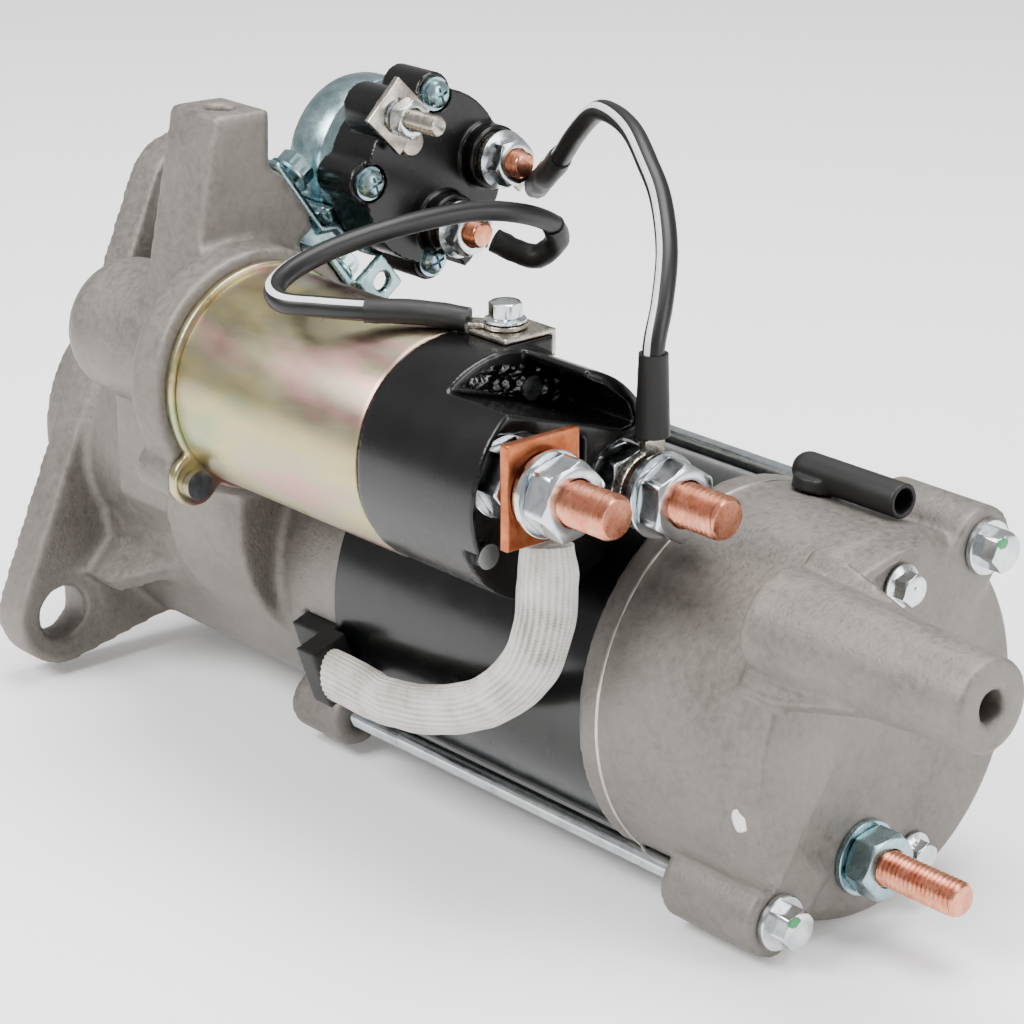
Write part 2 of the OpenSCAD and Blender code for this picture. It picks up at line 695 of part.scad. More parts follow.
module armature_core() {
  color([0.42, 0.42, 0.43]) difference() {
    rod(138, 208, 35.5, motor_y, motor_z);
    rod(137, 209, 8.45, motor_y, motor_z);
    for (k = [0:18]) round_motor(360 * k / 19) translate([137, 29, -1.2]) cube([72, 8, 2.4]);
  }
}

module armature_winding() {
  color([0.62, 0.32, 0.15]) difference() {
    union() {
      rod(121, 137.9, 34, motor_y, motor_z);
      for (k = [0:18]) round_motor(360 * k / 19) translate([137, 29.4, -1]) cube([72, 5, 2]);
      rod(208.1, 223, 33, motor_y, motor_z);
    }
    rod(120, 224, 22.5, motor_y, motor_z);
    rod(137.8, 208.2, 29.2, motor_y, motor_z);
  }
}

module commutator() {
  color([0.70, 0.42, 0.26]) difference() {
    union() {
      rod(224, 244.5, 22, motor_y, motor_z);
      rod(209, 224.1, 22.2, motor_y, motor_z);
    }
    rod(208, 245, 8.45, motor_y, motor_z);
    for (k = [0:18]) round_motor(360 * k / 19) translate([226, 20.6, -0.4]) cube([19, 3, 0.8]);
  }
}

module ring_gear() {
  color([0.55, 0.55, 0.56]) difference() {
    union() {
      rod(72, 95, 41);
      rod(-10, 73, 10);
    }
    rotate([stack - 180, 0, 0]) slab(77, 96) polygon(gear_points(35, 2, 33.4, 37.3, -0.25));
  }
  color([0.55, 0.55, 0.56]) rod(76, 103.4, 6);
}

module clutch() {
  color([0.50, 0.50, 0.51]) difference() {
    union() {
      rod(34.5, 58.1, 26);
      rod(58, 61.35, 27);
      rod(61, 67.5, 21.5);
      rod(67.35, 70.5, 27);
    }
    rod(34, 46, 15.06);
    rod(45, 71, 10.06);
  }
}

module pinion() {
  color([0.52, 0.52, 0.53]) difference() {
    union() {
      slab(-24, -4.4) polygon(gear_points(12, 3.175, 15.6, 22, 0.3));
      rod(-24, 45.6, 15);
    }
    rod(-25, 46, 10.06);
  }
}

module plunger() {
  color([0.66, 0.66, 0.62]) difference() {
    union() {
      stacked() translate([44, solenoid_offset - 6, -8]) cube([19, 12, 16]);
      rod(62, 137, 12.7, coil_y, coil_z);
    }
    stacked() translate([47.2, solenoid_offset - 7, -4.4]) cube([7.6, 11.5, 8.8]);
    rod(126, 138, 7.5, coil_y, coil_z);
    rod(110, 127, 3.3, coil_y, coil_z);
  }
}

module return_spring() {
  color([0.72, 0.73, 0.75]) translate([0, coil_y, coil_z]) rotate([0, 90, 0]) for (k = [0:5])
    translate([0, 0, 127.2 + 4.2 * k]) rotate_extrude() translate([5.9, 0]) circle(r = 0.9, $fn = 16);
}

module contact_disc() {
  color([0.75, 0.42, 0.28]) {
    rod(130, 184, 3, coil_y, coil_z);
    rod(183, 186, 18, coil_y, coil_z);
  }
}

module shift_lever() {
  color([0.50, 0.50, 0.51]) stacked() translate([lever_x, lever_arm, 0]) rotate([0, 0, lever_lean]) difference() {
    union() {
      translate([0, 0, -9]) cylinder(h = 18, r = 8);
      translate([-1.8, 6, -4]) cube([3.6, 16.7, 8]);
      translate([0, 22.7, -4]) cylinder(h = 8, r = 3);
      for (side = [0, 1]) mirror([0, 0, side]) {
        translate([-3, 0, 0]) rotate([90, 0, 90]) linear_extrude(6)
          polygon([[-4.4, 5], [-4.4, 13], [-18, 31.5], [-41, 31.5], [-41, 28.3], [-19, 28.3], [-10, 13], [-9, 5]]);
        translate([0, -lever_arm, 22.3]) cylinder(h = 7, r = 2.6);
      }
    }
    translate([0, 0, -10]) cylinder(h = 20, r = 4.06);
  }
}

drive_housing();
front_bearing();
front_seal();
centre_plate();
centre_bearing();
yoke();
pole_shoes();
field_coils();
rear_cover();
through_bolts();
rear_bearing();
brush_holder();
brushes();
brush_springs();
cover_screws();
vent_elbow();
ground_stud();
ground_nut();
solenoid_plate();
solenoid_screws();
solenoid_case();
solenoid_coil();
solenoid_core();
solenoid_cap();
power_studs();
power_nuts();
motor_terminal();
motor_lead();
lead_grommet();
switch_terminal();
switch_screw();
cap_screws();
relay_case();
relay_cap();
relay_screws();
relay_studs();
relay_nuts();
relay_post();
relay_coil();
relay_spring();
relay_bracket();
bracket_screws();
battery_wire();
switch_wire();
wire_lugs();
wire_sleeves();
lever_pin();
armature_shaft();
armature_core();
armature_winding();
commutator();
ring_gear();
clutch();
pinion();
plunger();
return_spring();
contact_disc();
shift_lever();
relay_plunger();
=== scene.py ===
# %% [markdown]
# # Starter motor of a commercial vehicle
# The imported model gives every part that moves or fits. This lesson adds the looks: cast skins with soft
# edges, rolled threads, chamfered nuts, wires, a braided lead, and one finish for each kind of surface.

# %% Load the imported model
import math

import bpy
from mathutils import Matrix, Vector, noise


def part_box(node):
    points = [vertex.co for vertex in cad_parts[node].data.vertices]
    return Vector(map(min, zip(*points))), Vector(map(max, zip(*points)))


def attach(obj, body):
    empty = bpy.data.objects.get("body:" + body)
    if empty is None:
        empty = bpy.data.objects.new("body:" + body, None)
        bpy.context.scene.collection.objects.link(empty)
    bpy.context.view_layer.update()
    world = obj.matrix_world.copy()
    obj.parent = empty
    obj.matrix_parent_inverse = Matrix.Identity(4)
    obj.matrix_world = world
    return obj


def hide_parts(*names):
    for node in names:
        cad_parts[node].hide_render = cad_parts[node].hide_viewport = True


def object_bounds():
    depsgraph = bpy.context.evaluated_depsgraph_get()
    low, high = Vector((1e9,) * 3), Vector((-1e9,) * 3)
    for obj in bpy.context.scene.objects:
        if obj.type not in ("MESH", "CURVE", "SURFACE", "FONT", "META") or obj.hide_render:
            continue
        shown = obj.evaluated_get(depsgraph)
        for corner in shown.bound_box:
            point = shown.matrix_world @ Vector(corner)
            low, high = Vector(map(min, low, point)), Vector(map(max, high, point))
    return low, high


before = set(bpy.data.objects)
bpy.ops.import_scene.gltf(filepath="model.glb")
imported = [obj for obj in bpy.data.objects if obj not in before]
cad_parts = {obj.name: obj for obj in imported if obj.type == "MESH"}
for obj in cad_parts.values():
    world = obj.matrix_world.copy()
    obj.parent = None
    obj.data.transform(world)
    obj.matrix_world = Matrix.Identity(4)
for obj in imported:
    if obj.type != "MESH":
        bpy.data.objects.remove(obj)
cad_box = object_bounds()
mm = 0.001

# %% [markdown]
# ## Places
# X runs from the flange to the rear, and the pinion axis is the origin. One slanted line across the
# machine carries the armature axis, 25 mm on one side of the pinion, and the solenoid axis, 60.7 mm on the
# other. The stud centres repeat the design's values. The ends of the tubes, studs and bolts along X are
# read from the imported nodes, so a change of length in the design moves the looks with it.

# %% Axes and stud centres


def reach(node, axis=0):
    """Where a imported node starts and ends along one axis, in mm."""
    low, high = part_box(node)
    return round(low[axis] / mm, 1), round(high[axis] / mm, 1)


def line_at(y, z):
    """A line along X, placed across the machine in mm."""
    return Vector((0, y, z)) * mm


def on_stack(distance):
    return Vector((0, distance * mm * math.cos(stack_angle), distance * mm * math.sin(stack_angle)))


def outward(degrees):
    """A direction across the machine, turned from +Y towards +Z."""
    turn = math.radians(degrees)
    return Vector((0, math.cos(turn), math.sin(turn)))


stack_angle = math.radians(132)
bolt_circle = 56.1 * mm
motor_axis = on_stack(-25)
coil_axis = on_stack(60.7)
relay_axis = line_at(22.4, 92.4)
motor_stud = line_at(-57.2, 51.4)
battery_stud = line_at(-19.3, 42.2)
ground_axis = line_at(12.3, -53.2)
screw_axes = [line_at(22.4, 20.2), line_at(31.4, -58.3)]
relay_stud_axes = [line_at(41, 96), line_at(25, 78)]
relay_screw_axes = [line_at(23.2, 116.4), line_at(-1.2, 94), line_at(21.6, 67.4)]
control_axis = line_at(5.5, 113.5)
bolt_axes = [motor_axis + bolt_circle * outward(degrees) for degrees in (49.3, 229.3)]
print("motor axis mm", [round(v / mm, 2) for v in motor_axis], "yoke along X mm", reach("yoke"))

# %% [markdown]
# ## Camera
# A catalogue picture is taken with a long lens, so that the parallel lines of the tubes stay nearly
# parallel. This one stands behind the machine, on the solenoid side, and looks down about 20 degrees.

# %% Camera
camera_data = bpy.data.cameras.new("camera")
camera_data.lens = 115.81
camera_data.sensor_width = 36
camera_data.clip_end = 20
camera = bpy.data.objects.new("camera", camera_data)
bpy.context.scene.collection.objects.link(camera)
camera.location = Vector((825.3, -567.3, 325.3)) * mm
camera_aim = Vector((-0.7118, 0.6140, -0.3403))
camera.rotation_euler = camera_aim.to_track_quat("-Z", "Y").to_euler()
bpy.context.scene.camera = camera
print("camera distance", round(camera.location.length, 3))

# %% [markdown]
# ## Helpers for materials
# Every finish is a shader that reads a place on the object and a few clouds of noise: one tints, one
# varies the shine and one raises a fine relief. Colours are written as display hex codes.

# %% Material helpers


def linear(hex_code):
    channels = [int(hex_code[i : i + 2], 16) / 255 for i in (1, 3, 5)]
    return [c / 12.92 if c <= 0.04045 else ((c + 0.055) / 1.055) ** 2.4 for c in channels] + [1.0]


def add(tree, kind, inputs=None, **settings):
    made = tree.nodes.new(kind)
    for key, value in settings.items():
        setattr(made, key, value)
    for key, value in (inputs or {}).items():
        if isinstance(value, bpy.types.NodeSocket):
            tree.links.new(value, made.inputs[key])
        else:
            made.inputs[key].default_value = value
    return made


def reckon(tree, operation, *values):
    return add(tree, "ShaderNodeMath", dict(enumerate(values)), operation=operation).outputs[0]


def start_material(name, **shader):
    made = bpy.data.materials.new(name)
    made.use_nodes = True
    tree = made.node_tree
    surface = tree.nodes["Principled BSDF"]
    for key, value in shader.items():
        surface.inputs[key.replace("_", " ")].default_value = value
    place = add(tree, "ShaderNodeTexCoord").outputs["Object"]
    return made, tree, surface, place


def cloud(tree, place, size_mm, detail=3.0, roughness=0.55):
    inputs = {"Vector": place, "Scale": 1000 / size_mm, "Detail": detail, "Roughness": roughness}
    return add(tree, "ShaderNodeTexNoise", inputs).outputs["Fac"]


def tint(tree, surface, factor, stops):
    made = add(tree, "ShaderNodeValToRGB", {"Fac": factor})
    points = made.color_ramp.elements
    while len(points) < len(stops):
        points.new(0.5)
    for point, (where, hex_code) in zip(points, stops):
        point.position = where
        point.color = linear(hex_code)
    tree.links.new(made.outputs["Color"], surface.inputs["Base Color"])


def shine(tree, surface, factor, low, high):
    """Spreads the middle of a cloud's values over a range of roughness."""
    inputs = {"Value": factor, "From Min": 0.3, "From Max": 0.7, "To Min": low, "To Max": high}
    made = add(tree, "ShaderNodeMapRange", inputs)
    tree.links.new(made.outputs["Result"], surface.inputs["Roughness"])


def relief(tree, surface, height, strength, depth_mm):
    made = add(tree, "ShaderNodeBump", {"Height": height, "Strength": strength, "Distance": depth_mm * mm})
    tree.links.new(made.outputs["Normal"], surface.inputs["Normal"])


# %% [markdown]
# ## Helpers for pieces
# Operators act on what is selected, so each helper first clears the selection. The last one names a
# finished piece, gives it its finish, hangs it on the housing and hides the imported nodes it replaces.

# %% Piece helpers


def fresh():
    if bpy.context.object and bpy.context.object.mode != "OBJECT":
        bpy.ops.object.mode_set(mode="OBJECT")
    bpy.ops.object.select_all(action="DESELECT")


def pick(*objects):
    fresh()
    for one in objects:
        one.select_set(True)
    bpy.context.view_layer.objects.active = objects[0]


def apply_place(piece):
    pick(piece)
    bpy.ops.object.transform_apply(location=True, rotation=True, scale=True)


def modify(piece, kind, **settings):
    pick(piece)
    modifier = piece.modifiers.new(kind.lower(), kind)
    for key, value in settings.items():
        setattr(modifier, key, value)
    bpy.ops.object.modifier_apply(modifier=modifier.name)


def join(pieces):
    pick(*pieces)
    bpy.ops.object.join()
    return bpy.context.object


def cut(piece, tool, operation="DIFFERENCE"):
    modify(piece, "BOOLEAN", object=tool, operation=operation, solver="EXACT")
    bpy.data.objects.remove(tool)


def moved(piece, matrix):
    piece.data.transform(matrix)
    return piece


def turned_up(base, direction):
    """A matrix that stands a piece made along X from the origin on a base point."""
    turn = Vector(direction).normalized().to_track_quat("X", "Z").to_matrix().to_4x4()
    return Matrix.Translation(Vector(base)) @ turn


def turned_about(axis, degrees):
    return Matrix.Translation(axis) @ Matrix.Rotation(math.radians(degrees), 4, "X")


def complete(piece, name, key, angle=35, nodes=()):
    piece.name = name
    piece.data.name = name
    piece.data.materials.clear()
    piece.data.materials.append(finish[key])
    pick(piece)
    bpy.ops.object.shade_smooth_by_angle(angle=math.radians(angle))
    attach(piece, "housing")
    if nodes:
        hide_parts(*nodes)
    print(name, len(piece.data.polygons), "faces")
    return piece


# %% [markdown]
# ## Floor and soft light
# The machine rests on a white sweep that glows a little, as a backlit table does, so its shadow stays
# pale. A bright white room and three large panels give broad, soft reflections on the metal.

# %% Floor
floor_size = 6
floor_gap = 0.4 * mm
fresh()
bpy.ops.mesh.primitive_plane_add(size=floor_size, location=(0.15, 0, cad_box[0][2] - floor_gap))
floor = bpy.context.object
floor.name = "floor"
apply_place(floor)
floor_finish, tree, surface, place = start_material("white_sweep", Roughness=0.9, Emission_Strength=0.16)
tint(tree, surface, cloud(tree, place, 400), [(0.3, "#fcfcfc"), (0.7, "#ffffff")])
surface.inputs["Emission Color"].default_value = linear("#ffffff")
floor.data.materials.append(floor_finish)

# %% World and panels
world = bpy.data.worlds.new("white_room")
bpy.context.scene.world = world
world.use_nodes = True
background = world.node_tree.nodes["Background"]
background.inputs["Color"].default_value = (1, 1, 1, 1)
background.inputs["Strength"].default_value = 0.5
light_aim = Vector((0.15, 0, 0.02))


def panel(name, place, size, power):
    data = bpy.data.lights.new(name, "AREA")
    data.shape = "RECTANGLE"
    data.size = size[0]
    data.size_y = size[1]
    data.energy = power
    made = bpy.data.objects.new(name, data)
    bpy.context.scene.collection.objects.link(made)
    made.location = place
    made.rotation_euler = (light_aim - Vector(place)).to_track_quat("-Z", "Y").to_euler()


panel("key_panel", (-0.1, -1.1, 1.1), (0.9, 0.6), 30)
panel("top_panel", (0.2, 0.2, 1.5), (1.2, 1.0), 42)
panel("side_panel", (1.4, 0.5, 0.6), (0.6, 1.0), 13)
print("lights:", [(light.name, light.energy) for light in bpy.data.lights])

# %% [markdown]
# ## Sand-cast aluminium
# The drive housing and rear cover are cast in sand, shot-blasted and left bare. The eye sees a warm matt
# grey with a grain of one or two millimetres and cloudy patches. The grain is relief and the patches are
# tint, because light from the side shows one and not the other.

# %% Cast aluminium


def cast_aluminium():
    made, tree, surface, place = start_material("cast_aluminium", Metallic=0.65)
    patches = cloud(tree, place, 30, 5)
    grain = cloud(tree, place, 1.1, 4, 0.7)
    pits = cloud(tree, place, 2.2, 3, 0.6)
    mottle = reckon(tree, "MULTIPLY", reckon(tree, "ADD", patches, pits), 0.5)
    tint(tree, surface, mottle, [(0.30, "#625e58"), (0.5, "#78736d"), (0.70, "#86817b")])
    shine(tree, surface, pits, 0.48, 0.62)
    relief(tree, surface, reckon(tree, "ADD", grain, pits), 0.6, 0.22)
    return made


# %% [markdown]
# ## Gloss black enamel
# The yoke is a rolled steel tube under thick gloss enamel, which dries with a faint orange peel. Peel
# bends the reflections over a few millimetres, so its relief is wide and very shallow.

# %% Black enamel


def black_enamel():
    made, tree, surface, place = start_material("black_enamel", Roughness=0.22, Specular_IOR_Level=0.4)
    tint(tree, surface, cloud(tree, place, 40, 3), [(0.3, "#050606"), (0.7, "#0c0d0d")])
    shine(tree, surface, cloud(tree, place, 9, 4), 0.18, 0.28)
    relief(tree, surface, cloud(tree, place, 2.5, 1), 0.10, 0.08)
    return made


# %% [markdown]
# ## Zinc plating
# Three platings are on this machine. Yellow chromate over zinc shimmers from straw to rose and green, and
# its bands run along the drawn case, so the noise is stretched along X. Blue chromate is on the relay.
# Bright zinc, nearly white, is on the fasteners.

# %% Yellow chromate


def yellow_chromate():
    made, tree, surface, place = start_material("yellow_chromate", Metallic=1.0)
    stretched = add(tree, "ShaderNodeMapping", {"Vector": place, "Scale": (0.35, 1.0, 1.0)}).outputs[0]
    green_to_rose = [(0.30, "#8a9a7c"), (0.42, "#b5a87c"), (0.50, "#a9a184")]
    rose_to_green = [(0.58, "#b88f88"), (0.66, "#9c9a86"), (0.74, "#90a58a")]
    tint(tree, surface, cloud(tree, stretched, 26, 3, 0.5), green_to_rose + rose_to_green)
    shine(tree, surface, cloud(tree, stretched, 8, 4), 0.26, 0.40)
    relief(tree, surface, cloud(tree, stretched, 1.2, 3), 0.08, 0.05)
    return made


# %% Blue chromate and bright zinc


def zinc(name, dark, light, cool, low, high):
    made, tree, surface, place = start_material(name, Metallic=1.0)
    tint(tree, surface, cloud(tree, place, 7, 4), [(0.3, dark), (0.55, light), (0.72, cool)])
    shine(tree, surface, cloud(tree, place, 3, 4), low, high)
    relief(tree, surface, cloud(tree, place, 0.8, 2), 0.06, 0.04)
    return made


# %% [markdown]
# ## Copper, steel and nickel
# The studs are rolled from copper and left bare. The terminal plate has been heated and is browner. Hidden
# steel parts are ground or machined. One function serves them all, with its own grain size for each.

# %% Bare metals


def bare_metal(name, dark, light, roughness, grain_mm):
    made, tree, surface, place = start_material(name, Metallic=1.0)
    tint(tree, surface, cloud(tree, place, 4, 4), [(0.32, dark), (0.68, light)])
    shine(tree, surface, cloud(tree, place, 1.5, 4), roughness - 0.06, roughness + 0.08)
    relief(tree, surface, cloud(tree, place, grain_mm, 2), 0.06, 0.03)
    return made


# %% [markdown]
# ## Mouldings, rubber, wire and paint marks
# The caps are glossy thermoset mouldings, the elbow and grommet are moulded rubber, the wire has a soft
# black jacket with a white tracer, and shrink sleeves are duller. Dabs of paint mark tightened bolts.

# %% Non-metals


def moulded(name, dark, light, roughness, texture_mm, strength, coat=0.0):
    made, tree, surface, place = start_material(
        name, Coat_Weight=coat, Coat_Roughness=0.12, Specular_IOR_Level=0.4
    )
    tint(tree, surface, cloud(tree, place, 15, 4), [(0.3, dark), (0.7, light)])
    shine(tree, surface, cloud(tree, place, 14, 3), roughness - 0.03, roughness + 0.04)
    relief(tree, surface, cloud(tree, place, texture_mm, 3), strength, 0.1)
    return made


# %% [markdown]
# ## Braided glass sleeve
# The motor lead runs in a woven glass-fibre sleeve. Its strands lie in ribs along the lead, and a finer
# weave crosses them. The pattern follows the lead, so it reads the UV map that the tube is made with.

# %% Glass braid
lead_ribs = 26
lead_picks = 120
weave_reach = 1.45


def glass_braid():
    made, tree, surface, place = start_material("glass_braid", Roughness=0.85, Sheen_Weight=0.25)
    lead_map = add(tree, "ShaderNodeUVMap").outputs["UV"]
    parts = add(tree, "ShaderNodeSeparateXYZ", {"Vector": lead_map})
    ribs = reckon(tree, "MULTIPLY", parts.outputs["X"], 2 * math.pi * lead_ribs)
    rib_wave = reckon(tree, "SINE", ribs)
    slant = reckon(tree, "MULTIPLY", ribs, 0.5)
    picks = reckon(tree, "MULTIPLY", parts.outputs["Y"], 2 * math.pi * lead_picks)
    pick_wave = reckon(tree, "SINE", reckon(tree, "ADD", picks, slant))
    weave = reckon(tree, "MULTIPLY_ADD", pick_wave, 0.45, rib_wave)
    limits = {"Value": weave, "From Min": -weave_reach, "From Max": weave_reach}
    height = add(tree, "ShaderNodeMapRange", limits).outputs["Result"]
    # The grooves of the weave are painted darker and its crests lighter, a painted shade, mixed with a cloud
    # of random tone.
    shade = reckon(tree, "MULTIPLY_ADD", height, 0.35, cloud(tree, place, 9, 4))
    tint(tree, surface, shade, [(0.35, "#8d877f"), (0.6, "#bbb6ae"), (0.85, "#cfcbc5")])
    relief(tree, surface, height, 0.8, 0.45)
    return made


# %% Make each finish once
finish = {
    "cast": cast_aluminium(),
    "enamel": black_enamel(),
    "yellow": yellow_chromate(),
    "blue": zinc("blue_chromate", "#7f9ba1", "#a3bcc0", "#93a9b8", 0.20, 0.34),
    "bright": zinc("bright_zinc", "#b4bcc0", "#d6dadc", "#c4d0d8", 0.14, 0.26),
    "copper": bare_metal("bare_copper", "#c4765a", "#e2a184", 0.28, 0.6),
    "plate": bare_metal("heated_copper", "#9a5231", "#b8704a", 0.34, 1.0),
    "steel": bare_metal("ground_steel", "#9a9b9d", "#b9babc", 0.26, 0.5),
    "machined": bare_metal("machined_steel", "#77777a", "#949497", 0.36, 0.7),
    "nickel": bare_metal("nickel_plate", "#a39c90", "#c9c3b7", 0.26, 0.6),
    "winding": bare_metal("enamelled_copper", "#8a4424", "#b4643a", 0.32, 1.2),
    "bakelite": moulded("black_thermoset", "#040404", "#0a0a0a", 0.26, 1.6, 0.08),
    "rubber": moulded("moulded_rubber", "#0d0d0d", "#171716", 0.52, 0.9, 0.15),
    "jacket": moulded("wire_jacket", "#040404", "#080808", 0.44, 1.2, 0.05, 0.08),
    "tracer": moulded("white_tracer", "#c9c9c9", "#dedede", 0.40, 1.2, 0.03),
    "sleeve": moulded("shrink_sleeve", "#0a0a09", "#141312", 0.5, 2.2, 0.22),
    "carbon": moulded("brush_carbon", "#1b1a19", "#2a2827", 0.55, 0.6, 0.15),
    "braid": glass_braid(),
    # The lip's lighter colour is a painted highlight along the cover's edge.
    "edge": bare_metal("painted_highlight_lip", "#a9a59e", "#c4c0b9", 0.36, 0.8),
    "green": moulded("green_paint", "#1d7a45", "#2e9a5b", 0.38, 1.0, 0.1),
    "white": moulded("white_paint", "#d9d9d6", "#efefec", 0.45, 1.0, 0.1),
    "potting": moulded("potting_resin", "#050505", "#0a0a0a", 0.10, 6.0, 0.25, 0.6),
}
print(len(finish), "finishes")

# %% [markdown]
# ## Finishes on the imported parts
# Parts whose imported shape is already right, such as the pinion and everything hidden, keep it and only
# take a finish. The others take one too, and are replaced below.

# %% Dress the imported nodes
dress = {
    "cast": ["drive_housing", "rear_cover", "centre_plate"],
    "enamel": ["yoke"],
    "yellow": ["solenoid_case", "solenoid_plate"],
    "blue": ["relay_case", "relay_bracket"],
    "bright": ["through_bolts", "cover_screws", "power_nuts", "relay_nuts", "ground_nut", "switch_screw",
               "cap_screws", "relay_screws", "solenoid_screws", "bracket_screws"],
    "copper": ["power_studs", "relay_studs", "ground_stud", "contact_disc", "commutator", "relay_plunger"],
    "plate": ["motor_terminal"],
    "steel": ["front_bearing", "centre_bearing", "rear_bearing", "lever_pin", "armature_shaft",
              "return_spring", "relay_spring", "brush_springs", "brush_holder"],
    "machined": ["ring_gear", "clutch", "pinion", "shift_lever", "armature_core", "pole_shoes",
                 "solenoid_core", "plunger"],
    "nickel": ["switch_terminal", "wire_lugs", "relay_post"],
    "winding": ["field_coils", "solenoid_coil", "relay_coil", "armature_winding"],
    "bakelite": ["solenoid_cap", "relay_cap"],
    "rubber": ["front_seal", "vent_elbow", "lead_grommet"],
    "sleeve": ["wire_sleeves"],
    "jacket": ["battery_wire", "switch_wire"],
    "carbon": ["brushes"],
    "braid": ["motor_lead"],
}
for key, names in dress.items():
    for name in names:
        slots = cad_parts[name].data.materials
        slots.clear()
        slots.append(finish[key])
print(sum(len(names) for names in dress.values()), "nodes dressed")

# %% [markdown]
# ## One way to wrap a sheet of quads
# A nut, a thread, a wire and a tube are all one sheet of quads wrapped into a shape. The helper adds a flat
# grid, moves each grid point to its place, welds the seam and closes the ends. It keeps the grid's UV map,
# whose first value runs round the piece and whose second runs along it.

# %% Wrap helper
weld_gap = 2e-6


def wrapped(columns, rows, shape):
    fresh()
    bpy.ops.mesh.primitive_grid_add(x_subdivisions=columns, y_subdivisions=rows, size=1, calc_uvs=True)
    piece = bpy.context.object
    for point in piece.data.vertices:
        row, column = divmod(point.index, columns + 1)
        point.co = shape(column / columns, row)
    apply_place(piece)
    bpy.ops.object.mode_set(mode="EDIT")
    bpy.ops.mesh.select_all(action="SELECT")
    bpy.ops.mesh.remove_doubles(threshold=weld_gap)
    bpy.ops.mesh.select_all(action="DESELECT")
    bpy.ops.mesh.select_mode(type="EDGE")
    bpy.ops.mesh.select_non_manifold(
        extend=False, use_wire=False, use_multi_face=False, use_non_contiguous=False, use_verts=False
    )
    bpy.ops.mesh.fill_holes(sides=0)
    bpy.ops.mesh.select_all(action="SELECT")
    bpy.ops.mesh.normals_make_consistent(inside=False)
    bpy.ops.mesh.select_mode(type="VERT")
    bpy.ops.object.mode_set(mode="OBJECT")
    return piece


def round_point(x, radius, angle, axis):
    """A point in metres at a radius in mm from an axis along X."""
    return Vector((x * mm, axis.y + radius * mm * math.cos(angle), axis.z + radius * mm * math.sin(angle)))


def spun(profile, axis, flats=0, turn=0, around=72):
    """Turns an outline about an axis along X. The outline is a list of (x, radius) in mm, walked from the
    bore round the outside and back. A point marked "hex" is held inside a hexagon, flats mm across."""

    def shape(part, row):
        x, radius, *hexed = profile[row]
        angle = 2 * math.pi * part
        if hexed:
            corner = (angle - math.radians(turn)) % (math.pi / 3) - math.pi / 6
            radius = min(radius, flats / 2 / math.cos(corner))
        return round_point(x, radius, angle, axis)

    return wrapped(around, len(profile) - 1, shape)


def rod(x0, x1, radius, axis, around=72):
    return spun([(x0, 0), (x0, radius), (x1, radius), (x1, 0)], axis, around=around)


# %% [markdown]
# ## Nuts, washers and threads
# A nut is a hexagon cut by a cone of 30 degrees at each end, and that is what leaves the curved edges on
# its flats. A spring washer is one turn of square wire with a gap. A thread is one ridge that climbs a
# pitch in each turn, so its rows of points are shifted along X by their place round the stud.

# %% Nuts and washers
chamfer_start = 0.48  # radius where the cone starts, as a share of the flats
chamfer_steps = [0, 0.2, 0.4, 0.6, 0.8, 1]


def nut(x0, x1, flats, bore, axis, turn=0, both=True, flange=0.0):
    """A nut, or with no bore a bolt head, with its front face at x0 and its rear face at x1."""
    corner = flats / math.sqrt(3)
    inner = flats * chamfer_start
    slope = (corner - inner) * math.tan(math.radians(30))
    rise = [(s * slope, inner + s * (corner - inner) + (0.01 if s == 1 else 0)) for s in chamfer_steps]
    profile = [(x0, bore)]
    if flange:
        profile += [(x0, flange - 0.3), (x0 + 0.3, flange), (x0 + 0.9, flange), (x0 + 1.5, flats * 0.52)]
        profile += [(x0 + 1.6, corner + 0.1, "hex")]
    elif both:
        profile += [(x0 + dx, radius, "hex") for dx, radius in rise]
    else:
        profile += [(x0, corner + 0.1, "hex")]
    profile += [(x1 - dx, radius, "hex") for dx, radius in reversed(rise)]
    if bore:
        profile += [(x1, bore + 0.5), (x1 - 0.5, bore), (x0, bore)]
    else:
        profile += [(x1, flats * 0.2), (x1 - 0.15, 0)]
    return spun(profile, axis, flats, turn)


def washer(x0, x1, radius, bore, axis, edge=0.25):
    profile = [(x0, bore), (x0, radius - edge), (x0 + edge, radius), (x1 - edge, radius), (x1, radius - edge)]
    return spun(profile + [(x1, bore), (x0, bore)], axis)


def split_washer(x0, x1, radius, bore, axis, start):
    gap = math.radians(9)
    inset = 0.15
    corners = [(x0 + inset, bore), (x0 + inset, radius), (x1 - inset, radius), (x1 - inset, bore)]
    corners.append(corners[0])

    def shape(part, row):
        angle = math.radians(start) + gap + part * (2 * math.pi - 2 * gap)
        lift = 0.25 * (part - 0.5)
        x, radius = corners[row]
        return round_point(x + lift, radius, angle, axis)

    return wrapped(48, 4, shape)


# %% Threads


def thread(x0, x1, radius, pitch, axis, tip=1.0, around=28):
    """A rolled thread with a chamfer of tip mm on its rear end."""
    waves = [0.0, 0.5, 1.0, 0.5]
    rows = int((x1 - x0) / pitch * len(waves)) + 2 * len(waves)
    depth = 0.58 * pitch

    def shape(part, row):
        x = x0 + (row / len(waves) - 1 + part) * pitch
        level = radius - depth * waves[row % len(waves)]
        if x <= x0:
            x, level = x0, radius - depth
        if x >= x1:
            x, level = x1, radius - tip - 0.1
        level = min(level, radius - tip + (x1 - x))
        return round_point(x, level, 2 * math.pi * part, axis)

    return wrapped(around, rows, shape)


# %% [markdown]
# ## Threaded studs
# Both power studs are M12 rolled copper. Their threads run the full exposed length, and the ends are
# chamfered. The relay studs are M8 copper and the ground stud is M10 copper. Each stud keeps the ends of
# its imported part.

